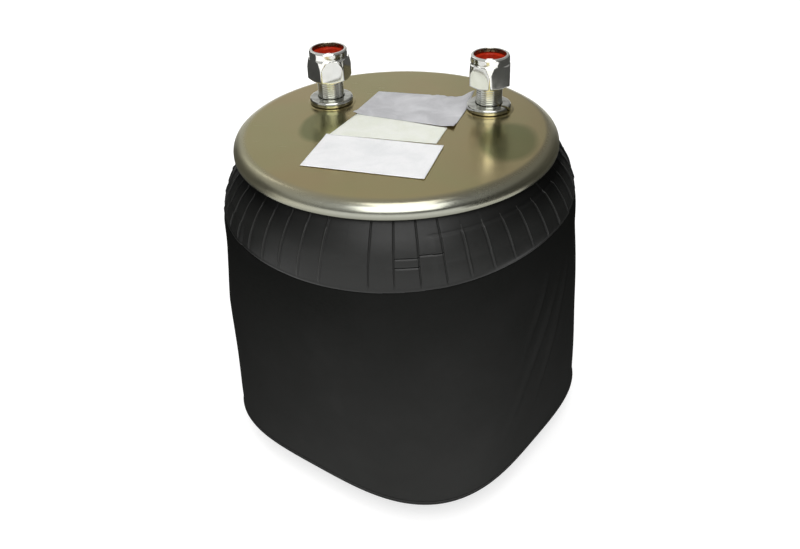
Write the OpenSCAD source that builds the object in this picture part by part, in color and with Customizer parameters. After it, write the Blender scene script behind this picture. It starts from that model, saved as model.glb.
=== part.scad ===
// Rolling-lobe air suspension spring, deflated, standing on its piston.
// Millimetres. The origin is the centre of the piston's base, +Z is up,
// and +X runs along the line through the two mounting studs.

/* [Bead plate] */
// Diameter over the rolled rim
plate_d = 228.6; // [222:0.2:236]
// Height of the plate's top face above the piston's base
plate_top = 254; // [250:0.5:290]
// Thickness of the plate
plate_t = 3.4; // [2.6:0.1:4]
// Height of the rolled rim
rim_h = 11.5; // [10.5:0.1:13]
// Width of the rounded shoulder, from the flat top to the widest point
shoulder_w = 10.3; // [9.5:0.1:12]
// Radius of the raised seat under each washer
pad_r = 17; // [16.5:0.1:20]
// Height of that raised seat
pad_h = 0.4; // [0.2:0.1:1]

/* [Studs] */
// Distance between the two studs
stud_spacing = 117.5; // [90:0.5:130]
// Distance of the stud line from the plate's centre
stud_offset = 38; // [20:0.5:46]
// Shift of the stud pair along its line
stud_shift = 3; // [0:0.5:8]
// Thread diameter of the studs
stud_d = 19.05; // [17:0.05:19.6]
// Height of a stud above the plate
stud_h = 34; // [31:0.5:38]
// Diameter of the flange under the plate
stud_flange_d = 32; // [26:0.5:36]
// Thickness of that flange
stud_flange_t = 4.5; // [3:0.1:6]
// Diameter of the air port in the left stud
port_d = 11.1; // [8:0.1:12]
// Depth of the threaded part of the air port
port_l = 12; // [8:0.5:18]
// Diameter of the air passage below the port
passage_d = 7; // [4:0.5:7.5]

/* [Nuts and washers] */
// Width of a nut across its flats
nut_af = 28.6; // [27.5:0.1:32]
// Height of a nut
nut_h = 22.4; // [20:0.1:26]
// Height of the collar that holds the nylon ring
collar_h = 8.4; // [7.5:0.1:10]
// Height of the nuts above the plate
nut_gap = 18.9; // [10:0.1:20]
// Depth of the nylon ring below the nut's mouth
ring_recess = 3.3; // [2:0.1:4]
// Height of the nylon ring
ring_h = 4.2; // [3:0.1:4.8]
// Outer diameter of a lock washer
washer_od = 32.1; // [29:0.1:33]
// Thickness of a lock washer
washer_t = 4.8; // [3:0.1:6]
// Width of the split in a lock washer
washer_split = 2.2; // [1:0.1:4]
// Turn of each nut about its stud, left and right
nut_turn = [22.6, 35.1]; // [-60:0.1:60]
// Direction of each washer's split, left and right
split_turn = [120, -25]; // [-180:1:180]

/* [Sleeve] */
// Wall of the rubber sleeve
sleeve_wall = 5; // [4:0.1:5.6]
// Diameter over the ribbed band under the rim
band_d = 255; // [248:0.5:262]
// Height of the flare between the rim and the band
flare_h = 37; // [28:0.5:44]
// Height of the straight part of the band
band_h = 6; // [3:0.5:12]
// Step at the band's lower edge
band_step = 0.8; // [0.3:0.1:1.5]
// Length of the sleeve below the rim
sleeve_drop = 226.3; // [215:0.5:230]
// Width of the squared lower end across its flats
lobe_af = 244.2; // [240:0.2:254]
// Squareness of the lower end, where 2 is a circle
lobe_square = 3.3; // [2.2:0.1:4]
// Direction of one corner of the squared end
lobe_corner = -71; // [-90:1:0]
// Sideways lean of the squared end, along X and Y
lobe_lean = [4, 2.5]; // [0:0.5:5]
// Gap inside the flattened fold at the bottom
fold_gap = 1.5; // [1:0.1:3]

/* [Piston] */
// Height of the piston up to the seat of the lower bead
crown_z = 158; // [150:1:162]
// Wall of the piston's shell
piston_wall = 3.5; // [2.5:0.1:5]
// Width of the flat ledge between the lower bead and the rounded shoulder
ledge_w = 3.7; // [1:0.1:8]
// Depth that the piston's waist is drawn in
waist_depth = 7; // [3:0.5:10]
// Height of the straight skirt below the waist
skirt_h = 22; // [10:1:40]
// Bevel at the foot of the shell
skirt_bevel = 4; // [2:0.5:4.5]
// Thickness of the base plate
base_t = 5; // [4.6:0.1:8]
// Depth of the dish pressed in the middle of the base plate
base_dish = 3; // [1:0.5:4]
// Diameter of the bolt circle in the base
base_pcd = 101.6; // [90:0.1:130]
// Number of threaded inserts in the base
base_bolts = 4; // [3:1:6]
// Bore of a threaded insert
insert_bore = 10.8; // [8:0.1:12]
// Depth of a threaded insert's bore
insert_depth = 22; // [15:0.5:26]

/* [Lower bead and bumper] */
// Radius of the seat that the lower bead grips
seat_r = 69.5; // [64:0.5:71]
// Width of the lower bead
lower_bead_w = 10.5; // [9.5:0.1:12]
// Height of the lower bead
lower_bead_h = 9; // [8:0.1:11]
// Diameter of the bead wires
wire_d = 3.8; // [2.6:0.1:4.2]
// Thickness of the clamp plate
clamp_t = 5; // [4:0.1:7]
// Thread diameter of the centre bolt
bolt_d = 16; // [12:0.1:18]
// Height of the jounce bumper above the clamp plate
bumper_h = 46.4; // [35:0.2:47]
// Diameter of the jounce bumper at its base
bumper_d = 76; // [70:1:90]
// Number of convolutions moulded in the bumper
bumper_waves = 2; // [1:1:4]

/* [Hidden] */

// Fineness of round shapes, of profile curves and of the sleeve
round_fn = 96;
curve_steps = 10;
corner_steps = 3;
sleeve_sides = 52;
flare_steps = 5;

// How far a cut runs past the face that it opens
cut = 1;

// Clearances
rubber_gap = 0.3;
thread_gap = 0.07;
washer_gap = 0.1;
piston_gap = 2.2;
shoulder_gap = 1;

// Bead plate: the rim is widest above its foot, and its lip turns in under the bead
plate_r = plate_d / 2;
flat_r = plate_r - shoulder_w;
rim_z = plate_top - rim_h;
under_plate = plate_top - plate_t;
widest_z = rim_z + 3;
rim_round = 1.6;
lip_round = 0.8;
lip_z = rim_z + 1.5;
lip_r = plate_r - plate_t - 1.4;
channel_r = lip_r + 1.2;
channel_turn = 0.92;
bead_inner_r = flat_r - 2.5;
bead_edge = 1.2;
upper_wire = [bead_inner_r + 3.7, lip_z + 3.1];

// Studs: shank in the plate, neck through the washer, full thread, and the tip in the nut
stud_r = stud_d / 2;
shank_r = stud_r + 0.25;
neck_r = stud_r - 0.5;
tip_r = stud_r - 0.22;
stud_xy = [
  [stud_shift - stud_spacing / 2, stud_offset],
  [stud_shift + stud_spacing / 2, stud_offset]
];
pad_z = plate_top + pad_h;
washer_top = pad_z + washer_t;
thread_z = washer_top + 0.3;
nut_z = plate_top + nut_gap;
tip_z = nut_z - 0.5;
stud_top = plate_top + stud_h;
stud_chamfer = 1.5;
flange_edge = 1;
washer_hole_r = shank_r + washer_gap;
washer_taper = 0.35;
washer_slope = 35;

// Nuts: the hexagon's corners are cut by two cones, and the collar is rolled over the ring
nut_corner_r = nut_af / 2 / cos(30);
nut_clear_r = nut_corner_r + 1;
nut_bore_r = stud_r + thread_gap;
nut_lead = 1.4;
nut_face_r = nut_af / 2 - 0.7;
nut_chamfer = 30;
nut_crown = 50;
collar_foot = nut_h - collar_h + 1.6;
collar_fillet = 0.6;
collar_r = nut_af / 2 - 0.2;
collar_roll = 1.6;
mouth_r = collar_r - 2.5;
mouth_round = 0.4;
ring_r = mouth_r + 0.5;
ring_top = nut_h - ring_recess;
ring_edge = 0.8;

// Sleeve
band_r = band_d / 2;
half_wall = sleeve_wall / 2;
neck_mid_r = lip_r - rubber_gap - half_wall;
band_foot = rim_z - flare_h - band_h;
step_h = 2;
lobe_r = lobe_af / 2;
lobe_z = rim_z - sleeve_drop;
fold_r = sleeve_wall + fold_gap / 2;
fold_mid_r = lobe_r - fold_r;
fold_in_r = (sleeve_wall + fold_gap) / 2;
fold_z = lobe_z + fold_r;
morph_drop = 25;
morph_top = rim_z - morph_drop;
lean_length = norm(lobe_lean);

// Piston: its shoulder takes what the ledge and the lower bead leave of its radius
piston_r = lobe_r - 2 * sleeve_wall - fold_gap - lean_length - piston_gap;
bead_r = seat_r + lower_bead_w;
shoulder_r = bead_r + ledge_w;
crown_round = piston_r - shoulder_r;
shoulder_z = crown_z - crown_round;
clamp_z = crown_z + lower_bead_h;
clamp_top = clamp_z + clamp_t;
crown_t = 10;
over_r = crown_round + shoulder_gap + half_wall;

// Base plate and inserts
foot_r = piston_r - skirt_bevel - piston_wall;
insert_r = insert_bore / 2 + 4;
insert_flange_r = insert_r + 3;
insert_flange_h = 4;
insert_end = 3;
insert_turn = 45;
dish_r = base_pcd / 2 - insert_flange_r - 6;
dish_slope = 4;

// Lower bead, clamp plate and centre bolt
bead_foot_edge = 1;
bead_top_edge = 2;
wire_share = 0.45;
lower_wire = [seat_r + wire_share * lower_bead_w, crown_z + wire_share * lower_bead_h];
clamp_r = bead_r - 1.5;
clamp_edge = 2;
bolt_r = bolt_d / 2;
bolt_hole_r = bolt_r + 0.5;
bolt_head_af = 1.5 * bolt_d;
bolt_head_h = 0.65 * bolt_d;
bolt_washer_r = bolt_d;
bolt_washer_t = 3;
plain_nut_h = 0.85 * bolt_d;
plain_nut_z = clamp_z - crown_t - bolt_washer_t - plain_nut_h;
bolt_end = 4;
seal_inset = 12;
seal_r = bolt_hole_r + seal_inset;
seal_d = 3.5;

// Lipped ring on the clamp plate, and the bumper that snaps over it
snap_r = bolt_head_af / 2 / cos(30) + 4;
snap_out_r = snap_r + 3;
snap_h = 9;
snap_lip = 1.6;
snap_lip_z = [snap_h - 3, snap_h - 2, snap_h];
bumper_r = bumper_d / 2;
bumper_taper = 0.16;
bumper_wave = 1.25;
bumper_edge = 5;
bumper_bevel = 1.5;
bumper_floor = snap_h + 2;
wave_steps = 8;

plate_colour = [0.55, 0.52, 0.40];
zinc_colour = [0.80, 0.80, 0.78];
rubber_colour = [0.10, 0.10, 0.10];
nylon_colour = [0.66, 0.07, 0.03];
piston_colour = [0.16, 0.17, 0.18];
wire_colour = [0.62, 0.52, 0.33];

// Value kept between 0 and 1
function clamped(x) = max(0, min(1, x));

function backwards(points) = [for (k = [len(points) - 1 : -1 : 0]) points[k]];

// Points of an arc from one angle to another
function arc(centre, r, from, to, steps) = [
  for (k = [0 : steps])
    let (a = from + (to - from) * k / steps) centre + r * [cos(a), sin(a)]
];

module revolve(points) {
  rotate_extrude($fn = round_fn) polygon(points);
}

module drum(r, z, h) {
  translate([0, 0, z]) cylinder(r = r, h = h, $fn = round_fn);
}

module at_stud(side) {
  translate([stud_xy[side][0], stud_xy[side][1], 0]) children();
}

// Quarter of an ellipse from the flat top (at 0) to the widest point (at 1)
function shoulder_curve(inset, to) = [
  for (k = [0 : curve_steps])
    let (a = 90 * to * k / curve_steps)
    [
      flat_r + (shoulder_w - inset) * sin(a),
      widest_z + (plate_top - widest_z - inset) * cos(a)
    ]
];

// The crimped channel under the shoulder, which the upper bead fills
channel_outline = concat(
  shoulder_curve(plate_t, channel_turn),
  [[channel_r, widest_z], [lip_r, lip_z]]
);

// Section of the plate from its centre to the lip that holds the bead
plate_outline = concat(
  [[0, under_plate], [0, plate_top]],
  shoulder_curve(0, 1),
  arc([plate_r - rim_round, rim_z + rim_round], rim_round, 0, -90, corner_steps),
  arc([lip_r + lip_round, rim_z + lip_round], lip_round, -90, -180, corner_steps),
  backwards(channel_outline)
);

// Stamped steel plate whose rim is rolled under the upper bead
module bead_plate() {
  color(plate_colour) difference() {
    union() {
      revolve(plate_outline);
      for (side = [0, 1]) at_stud(side) drum(pad_r, under_plate, plate_t + pad_h);
    }
    for (side = [0, 1]) at_stud(side) drum(shank_r, under_plate - cut, plate_t + pad_h + 2 * cut);
  }
}

// Bead section with a channel for its wire, and the slit that the mould's wire support leaves
module wired_bead(outline, inner_r, wire) {
  color(rubber_colour) rotate_extrude($fn = round_fn) difference() {
    polygon(outline);
    translate(wire) circle(d = wire_d, $fn = round_fn);
    translate([inner_r - cut, wire[1] - rubber_gap / 2]) square([wire[0] - inner_r + cut, rubber_gap]);
  }
}

module bead_wire(wire) {
  color(wire_colour) rotate_extrude($fn = round_fn) translate(wire) circle(d = wire_d, $fn = round_fn);
}

// Moulded rubber bead, crimped in the plate's rim
module upper_bead() {
  wired_bead(
    concat(
      [
        [bead_inner_r, lip_z],
        [bead_inner_r, under_plate - bead_edge],
        [bead_inner_r + bead_edge, under_plate]
      ],
      channel_outline
    ),
    bead_inner_r,
    upper_wire
  );
}

module upper_bead_wire() {
  bead_wire(upper_wire);
}

// Stud with a flange under the plate, from its centre line outwards and up
stud_outline = [
  [0, under_plate - stud_flange_t],
  [stud_flange_d / 2 - flange_edge, under_plate - stud_flange_t],
  [stud_flange_d / 2, under_plate - stud_flange_t + flange_edge],
  [stud_flange_d / 2, under_plate],
  [shank_r, under_plate],
  [shank_r, pad_z],
  [neck_r, pad_z],
  [neck_r, thread_z],
  [stud_r, thread_z + stud_r - neck_r],
  [stud_r, tip_z],
  [tip_r, tip_z],
  [tip_r, stud_top - stud_chamfer],
  [tip_r - stud_chamfer, stud_top],
  [0, stud_top]
];

// Combination stud with a pipe thread at its top and an air passage right through
module air_stud() {
  color(zinc_colour) at_stud(0) difference() {
    revolve(stud_outline);
    drum(port_d / 2, stud_top - port_l, port_l + cut);
    drum(passage_d / 2, under_plate - stud_flange_t - cut, stud_top - under_plate + stud_flange_t);
  }
}

module plain_stud() {
  color(zinc_colour) at_stud(1) revolve(stud_outline);
}

// Split ring with a trapezoid section, as on a helical spring washer
module lock_washer(side) {
  washer_r = washer_od / 2;
  color(zinc_colour) at_stud(side) difference() {
    revolve([
      [washer_hole_r, pad_z],
      [washer_r, pad_z + washer_taper],
      [washer_r, washer_top - washer_taper],
      [washer_hole_r, washer_top]
    ]);
    rotate([0, 0, split_turn[side]])
      translate([(washer_hole_r + washer_r) / 2, 0, pad_z + washer_t / 2])
        rotate([washer_slope, 0, 0])
          cube([washer_r, washer_split, 3 * washer_t], center = true);
  }
}

module left_lock_washer() {
  lock_washer(0);
}

module right_lock_washer() {
  lock_washer(1);
}

// Section of a nut from its bore out over the corners, up the collar and into its mouth
nut_outline = concat(
  [
    [nut_bore_r, nut_lead],
    [nut_bore_r + nut_lead, 0],
    [nut_face_r, 0],
    [nut_clear_r, (nut_clear_r - nut_face_r) * tan(nut_chamfer)],
    [nut_clear_r, collar_foot - (nut_clear_r - nut_af / 2) * tan(nut_crown)],
    [nut_af / 2, collar_foot],
    [collar_r, collar_foot + collar_fillet]
  ],
  arc([collar_r - collar_roll, nut_h - collar_roll], collar_roll, 0, 90, corner_steps),
  arc([mouth_r + mouth_round, nut_h - mouth_round], mouth_round, 90, 180, corner_steps),
  [
    [mouth_r, ring_top],
    [ring_r, ring_top],
    [ring_r, ring_top - ring_h],
    [nut_bore_r, ring_top - ring_h]
  ]
);

module lock_nut(side) {
  color(zinc_colour) at_stud(side) translate([0, 0, nut_z]) rotate([0, 0, nut_turn[side]])
    intersection() {
      cylinder(r = nut_corner_r, h = nut_h, $fn = 6);
      revolve(nut_outline);
    }
}

module left_nut() {
  lock_nut(0);
}

module right_nut() {
  lock_nut(1);
}

// Nylon ring that is rolled into the collar and grips the thread
module nylon_ring(side) {
  color(nylon_colour) at_stud(side) translate([0, 0, nut_z])
    revolve([
      [nut_bore_r, ring_top - ring_h],
      [ring_r - thread_gap, ring_top - ring_h],
      [ring_r - thread_gap, ring_top - thread_gap],
      [nut_bore_r + ring_edge, ring_top - thread_gap],
      [nut_bore_r, ring_top - ring_edge]
    ]);
}

module left_nylon_ring() {
  nylon_ring(0);
}

module right_nylon_ring() {
  nylon_ring(1);
}

// How far the outer wall has turned from round (0) to the squared end (1) at a height
function outer_morph(z) = clamped((morph_top - z) / (morph_top - fold_z));

// The inner wall turns back from square to round between the fold and the shoulder
function inner_morph(z) = clamped((shoulder_z - z) / (shoulder_z - fold_z));

// Middle of the outer wall below the band
function outer_radius(z) = band_r - half_wall + (lobe_r - band_r) * outer_morph(z);

// Middle of the outer wall: flare, band, step and the long side down to the fold
outer_wall = concat(
  [[neck_mid_r, lip_z]],
  [
    for (k = [0 : flare_steps])
      let (u = k / flare_steps)
      [neck_mid_r + (band_r - half_wall - neck_mid_r) * sin(90 * u), rim_z - flare_h * u]
  ],
  [
    [band_r - half_wall, band_foot],
    [outer_radius(band_foot) - band_step, band_foot - step_h]
  ],
  [
    for (u = [0.3, 0.6, 0.85])
      let (z = band_foot + (fold_z - band_foot) * u) [outer_radius(z), z]
  ]
);

// Middle of the flattened fold, half a turn
fold = arc([fold_mid_r, fold_z], fold_in_r, 0, -180, 4);

// Middle of the inner wall, from the fold up to the piston's shoulder and over it
fold_end_r = fold_mid_r - fold_in_r;
inner_wall = concat(
  [
    for (u = [0.35, 0.7])
      [fold_end_r + (shoulder_r + over_r - fold_end_r) * u, fold_z + (shoulder_z - fold_z) * u]
  ],
  arc([shoulder_r, shoulder_z], over_r, 0, 90, 4),
  [[bead_r + rubber_gap / 2, crown_z + shoulder_gap + half_wall]]
);

sleeve_path = concat(outer_wall, fold, inner_wall);
last_point = len(sleeve_path) - 1;
outer_count = len(outer_wall) + len(fold);

function path_morph(k) =
  k < outer_count ? outer_morph(sleeve_path[k][1]) : inner_morph(sleeve_path[k][1]);

// Unit normal of the path, which points out of the sleeve on the outer wall
function path_normal(k) =
  k == 0 ? [1, 0] :
  let (along = sleeve_path[min(k + 1, last_point)] - sleeve_path[k - 1])
  [-along[1], along[0]] / norm(along);

// One face of the sleeve's wall as [radius, height, morph], out or in from the middle
function wall_face(side) = [
  for (k = [0 : last_point])
    let (p = sleeve_path[k] + side * half_wall * path_normal(k)) [p[0], p[1], path_morph(k)]
];

sleeve_section = concat(wall_face(1), backwards(wall_face(-1)));

// Radius at an angle of a rounded square with half-width a, a circle at n = 2
function rounded_square(a, n, angle) =
  a / pow(pow(abs(cos(angle - 45)), n) + pow(abs(sin(angle - 45)), n), 1 / n);

// A section point turned to an angle: squared by its morph and leaning with it
function sleeve_point(s, angle) =
  let (
    r = rounded_square(s[0], 2 + (lobe_square - 2) * s[2], angle - lobe_corner)
  )
  [r * cos(angle) + lobe_lean[0] * s[2], r * sin(angle) + lobe_lean[1] * s[2], s[1]];

// Rubber sleeve: flares from the rim, hangs to a flat fold, and rises inside to the piston
module flexible_member() {
  count = len(sleeve_section);
  color(rubber_colour) polyhedron(
    points = [
      for (i = [0 : sleeve_sides - 1], s = sleeve_section)
        sleeve_point(s, lobe_corner + 360 * i / sleeve_sides)
    ],
    faces = [
      for (i = [0 : sleeve_sides - 1], j = [0 : count - 1])
        let (
          i2 = (i + 1) % sleeve_sides,
          j2 = (j + 1) % count
        )
        [i * count + j, i * count + j2, i2 * count + j2, i2 * count + j]
    ],
    convexity = 6
  );
}

// Moulded rubber bead that grips the piston's seat
module lower_bead() {
  wired_bead(
    [
      [seat_r, crown_z],
      [bead_r - bead_foot_edge, crown_z],
      [bead_r, crown_z + bead_foot_edge],
      [bead_r, clamp_z - bead_top_edge],
      [bead_r - bead_top_edge, clamp_z],
      [seat_r, clamp_z]
    ],
    seat_r,
    lower_wire
  );
}

module lower_bead_wire() {
  bead_wire(lower_wire);
}

// Depth of the shell's waist at a height
function waist(z) = waist_depth * pow(sin(180 * (z - skirt_h) / (shoulder_z - skirt_h)), 2);

// One face of the shell's side, from its bevelled foot to the top of the rounded shoulder
function shell_side(inset) = concat(
  [[piston_r - skirt_bevel - inset, 0], [piston_r - inset, skirt_bevel]],
  [
    for (k = [0 : curve_steps])
      let (z = skirt_h + (shoulder_z - skirt_h) * k / curve_steps)
      [piston_r - waist(z) - inset, z]
  ],
  arc([shoulder_r, shoulder_z], crown_round - inset, 90 / curve_steps, 90, curve_steps - 1)
);

// Drawn steel shell: skirt, waist, rounded shoulder and the raised seat of the lower bead
module piston_shell() {
  color(piston_colour) difference() {
    revolve(concat(
      shell_side(0),
      [
        [seat_r, crown_z],
        [seat_r, clamp_z],
        [0, clamp_z],
        [0, clamp_z - crown_t],
        [seat_r - piston_wall, clamp_z - crown_t],
        [seat_r - piston_wall, crown_z - piston_wall]
      ],
      backwards(shell_side(piston_wall))
    ));
    drum(bolt_hole_r, clamp_z - crown_t - cut, crown_t + 2 * cut);
    difference() {
      drum(seal_r + seal_d / 2, clamp_z - seal_d, seal_d + cut);
      drum(seal_r - seal_d / 2, clamp_z - seal_d - cut, seal_d + 3 * cut);
    }
  }
}

// Points where the threaded inserts stand
module at_inserts() {
  for (k = [0 : base_bolts - 1]) rotate([0, 0, insert_turn + 360 * k / base_bolts])
    translate([base_pcd / 2, 0, 0]) children();
}

// Disc welded inside the foot of the shell, dished in the middle
module piston_base_plate() {
  color(piston_colour) difference() {
    revolve([
      [0, base_dish],
      [dish_r - dish_slope, base_dish],
      [dish_r, 0],
      [foot_r, 0],
      [foot_r + skirt_bevel, skirt_bevel],
      [foot_r + skirt_bevel, base_t],
      [dish_r, base_t],
      [dish_r - dish_slope, base_t + base_dish],
      [0, base_t + base_dish]
    ]);
    at_inserts() drum(insert_r, -cut, base_t + 2 * cut);
  }
}

// Blind steel inserts, flush with the base, each with a flange inside
module base_inserts() {
  color(zinc_colour) at_inserts() difference() {
    union() {
      drum(insert_r, 0, insert_depth + insert_end);
      drum(insert_flange_r, base_t, insert_flange_h);
    }
    drum(insert_bore / 2, -cut, insert_depth + cut);
  }
}

// Plate that clamps the lower bead and carries the bumper on a lipped ring
module clamp_plate() {
  color(piston_colour) difference() {
    union() {
      revolve([
        [0, clamp_z],
        [clamp_r, clamp_z],
        [clamp_r, clamp_top - clamp_edge],
        [clamp_r - clamp_edge, clamp_top],
        [0, clamp_top]
      ]);
      revolve([
        [snap_r, clamp_top - cut],
        [snap_out_r, clamp_top - cut],
        [snap_out_r, clamp_top + snap_lip_z[0]],
        [snap_out_r + snap_lip, clamp_top + snap_lip_z[1]],
        [snap_out_r, clamp_top + snap_lip_z[2]],
        [snap_r, clamp_top + snap_lip_z[2]]
      ]);
    }
    drum(bolt_hole_r, clamp_z - cut, clamp_t + 2 * cut);
  }
}

// O-ring in the groove between the crown and the clamp plate
module clamp_seal() {
  color(rubber_colour) rotate_extrude($fn = round_fn)
    translate([seal_r, clamp_z - seal_d / 2]) circle(d = seal_d, $fn = round_fn);
}

// Hexagon bolt that holds the clamp plate to the crown
module centre_bolt() {
  color(zinc_colour) union() {
    drum(bolt_r, plain_nut_z - bolt_end, clamp_top + cut - plain_nut_z + bolt_end);
    translate([0, 0, clamp_top]) intersection() {
      cylinder(d = bolt_head_af / cos(30), h = bolt_head_h, $fn = 6);
      cylinder(r1 = bolt_head_af / 2 + bolt_head_h, r2 = bolt_head_af / 2, h = bolt_head_h, $fn = round_fn);
    }
  }
}

module centre_bolt_washer() {
  color(zinc_colour) difference() {
    drum(bolt_washer_r, clamp_z - crown_t - bolt_washer_t, bolt_washer_t);
    drum(bolt_hole_r, clamp_z - crown_t - bolt_washer_t - cut, bolt_washer_t + 2 * cut);
  }
}

module centre_nut() {
  color(zinc_colour) difference() {
    translate([0, 0, plain_nut_z]) cylinder(d = bolt_head_af / cos(30), h = plain_nut_h, $fn = 6);
    drum(bolt_r + thread_gap, plain_nut_z - cut, plain_nut_h + 2 * cut);
  }
}

// Radius of the bumper's side at a share of its height
function bumper_side(u) =
  bumper_r * (1 - bumper_taper * u) - bumper_wave * (1 - cos(360 * bumper_waves * u));

// Rubber stop with moulded convolutions, snapped over the clamp plate's lipped ring
module jounce_bumper() {
  top = clamp_top + bumper_h;
  steps = wave_steps * bumper_waves;
  color(rubber_colour) revolve(concat(
    [
      for (k = [0 : steps])
        let (u = k / steps) [bumper_side(u), clamp_top + (bumper_h - bumper_edge) * u]
    ],
    [
      [bumper_side(1) - bumper_bevel, top - bumper_bevel],
      [bumper_side(1) - bumper_edge, top],
      [0, top],
      [0, clamp_top + bumper_floor],
      [snap_out_r, clamp_top + bumper_floor],
      [snap_out_r, clamp_top + snap_lip_z[2]],
      [snap_out_r + snap_lip, clamp_top + snap_lip_z[1]],
      [snap_out_r, clamp_top + snap_lip_z[0]],
      [snap_out_r, clamp_top]
    ]
  ));
}

bead_plate();
upper_bead();
upper_bead_wire();
air_stud();
plain_stud();
left_lock_washer();
right_lock_washer();
left_nut();
right_nut();
left_nylon_ring();
right_nylon_ring();
flexible_member();
lower_bead();
lower_bead_wire();
piston_shell();
piston_base_plate();
base_inserts();
clamp_plate();
clamp_seal();
centre_bolt();
centre_bolt_washer();
centre_nut();
jounce_bumper();
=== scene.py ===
"""Dressed scene of a rolling-lobe air spring: its pieces, materials, studio and camera.

Lengths are in millimetres unless a comment says metres. The front is the side that the photo
shows, and left and right are the photo's.
"""

import math
import random

import bmesh
import bpy
import numpy as np
from mathutils import Matrix, Vector, noise


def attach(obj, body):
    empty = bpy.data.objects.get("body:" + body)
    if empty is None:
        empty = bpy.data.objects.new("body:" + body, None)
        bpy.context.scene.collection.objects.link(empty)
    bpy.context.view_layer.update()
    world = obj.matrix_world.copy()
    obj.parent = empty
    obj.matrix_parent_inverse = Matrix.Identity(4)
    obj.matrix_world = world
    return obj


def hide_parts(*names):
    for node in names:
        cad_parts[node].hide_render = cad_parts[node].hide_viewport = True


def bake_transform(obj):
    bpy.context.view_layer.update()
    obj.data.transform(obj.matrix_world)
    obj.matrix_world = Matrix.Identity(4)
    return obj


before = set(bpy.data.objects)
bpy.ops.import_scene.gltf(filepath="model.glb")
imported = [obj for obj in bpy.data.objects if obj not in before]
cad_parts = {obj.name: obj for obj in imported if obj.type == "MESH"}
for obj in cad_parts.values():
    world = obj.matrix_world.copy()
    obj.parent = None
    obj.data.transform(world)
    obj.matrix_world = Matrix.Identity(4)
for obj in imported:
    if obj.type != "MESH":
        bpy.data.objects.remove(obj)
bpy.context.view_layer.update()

MM = 0.001
LOWER = "piston_assembly"
UPPER = "upper_assembly"

# Camera, fitted to the photo: place in metres, angles in radians
CAMERA_PLACE = (0.1153, -0.5698, 0.5142)
CAMERA_DOWN = math.radians(33.56)
CAMERA_ROLL = -0.035
CAMERA_LENS = 40.17
SENSOR_WIDTH = 36.0

# Turn of the front, and the level ways to its right and to its back
FRONT_DEG = 11.5
RIGHT = (math.cos(math.radians(FRONT_DEG)), math.sin(math.radians(FRONT_DEG)), 0)
BACK = (-math.sin(math.radians(FRONT_DEG)), math.cos(math.radians(FRONT_DEG)), 0)

# Sizes of the solids that the pieces follow. Radii end in R, and heights over the floor in Z
# or TOP, but COLLAR_FOOT and RING_TOP are heights over the nut's own foot
PLATE_R = 114.3
FLAT_R = 104.0
PLATE_TOP = 254.0
PLATE_T = 3.4
UNDER_PLATE = PLATE_TOP - PLATE_T
RIM_Z = 242.5
WIDEST_Z = 245.5
RIM_ROUND = 1.6
LIP_R = 109.5
LIP_Z = 244.0
LIP_ROUND = 0.8
CHANNEL_R = 110.7
BEAD_INNER_R = 101.5
PAD_Z = 254.4
STUDS = {"left": (-55.75, 38.0), "right": (61.75, 38.0)}
STUD_R = 9.525
STUD_TOP = 288.0
STUD_BEVEL = 1.7
HEAD_R = 16.0
HEAD_Z = UNDER_PLATE - 4.5
AIR_R = 3.5
PITCH = 1.5875
TIP_Z = 272.4
WASHER_IN = 9.875
WASHER_OUT = 16.05
WASHER_TOP = 259.2
WASHER_GAP = 2.2
WASHER_SLOPE = math.radians(35)
SPLIT_TURN = {"left": 120.0, "right": -25.0}
NUT_Z = 272.9
NUT_H = 22.4
NUT_AF = 28.6
NUT_TURN = {"left": 22.6, "right": 35.1}
NUT_BORE = 9.6
COLLAR_R = 14.1
COLLAR_FOOT = 16.6
COLLAR_ROLL = 1.6
MOUTH_R = 11.6
RING_R = 12.1
RING_TOP = 19.1
RING_H = 4.2
BAND_R = 127.5
HALF_WALL = 2.5
LOBE_R = 122.1
FOLD_MID_R = 116.35
FOLD_R = 3.25
FOLD_Z = 21.95
MORPH_TOP = 217.5
# The sleeve's squared end: its power (2 is round), the way to a corner, and its lean
SQUARE = 3.3
CORNER = math.radians(-71)
LEAN = (4.0, 2.5)
# Piston, lower bead and bumper
PISTON_R = 103.68
FOOT_BEVEL = 4.0
SKIRT_H = 22.0
WAIST = 7.0
SHOULDER_R = 83.7
SHOULDER_Z = 138.02
CROWN_ROUND = 19.98
CROWN_Z = 158.0
CROWN_T = 10.0
CLAMP_Z = 167.0
CLAMP_TOP = 172.0
BOLT_HOLE_R = 8.5
SEAT_R = 69.5
BEAD_R = 80.0
OVER_R = 23.48
PISTON_WALL = 3.5
BUMPER_R = 38.0
BUMPER_SIDE = 41.4
BUMPER_TOP = 218.4


# Mesh helpers

def rounded(points, radii, steps=4):
    """The outline with each corner that has a radius turned into a short curve."""
    out = []
    last = len(points) - 1
    for k, (p, r) in enumerate(zip(points, radii)):
        if r <= 0 or k in (0, last):
            out.append(tuple(p))
            continue
        here = np.array(p, float)
        back = np.array(points[k - 1], float) - here
        on = np.array(points[k + 1], float) - here
        reach = min(r, 0.49 * np.linalg.norm(back), 0.49 * np.linalg.norm(on))
        start = here + back / np.linalg.norm(back) * reach
        end = here + on / np.linalg.norm(on) * reach
        for j in range(steps + 1):
            t = j / steps
            q = (1 - t) ** 2 * start + 2 * t * (1 - t) * here + t * t * end
            out.append(tuple(q))
    return out


def dense(points, longest):
    """The outline with long stretches divided."""
    out = [tuple(points[0])]
    for a, b in zip(points, points[1:]):
        parts = max(1, math.ceil(math.dist(a, b) / longest))
        for j in range(1, parts + 1):
            out.append((a[0] + (b[0] - a[0]) * j / parts, a[1] + (b[1] - a[1]) * j / parts))
    return out


def arc(centre, r, start, end, steps):
    """Points on a circle, from one angle in degrees to another."""
    angles = [math.radians(start + (end - start) * k / steps) for k in range(steps + 1)]
    return [(centre[0] + r * math.cos(a), centre[1] + r * math.sin(a)) for a in angles]


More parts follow.
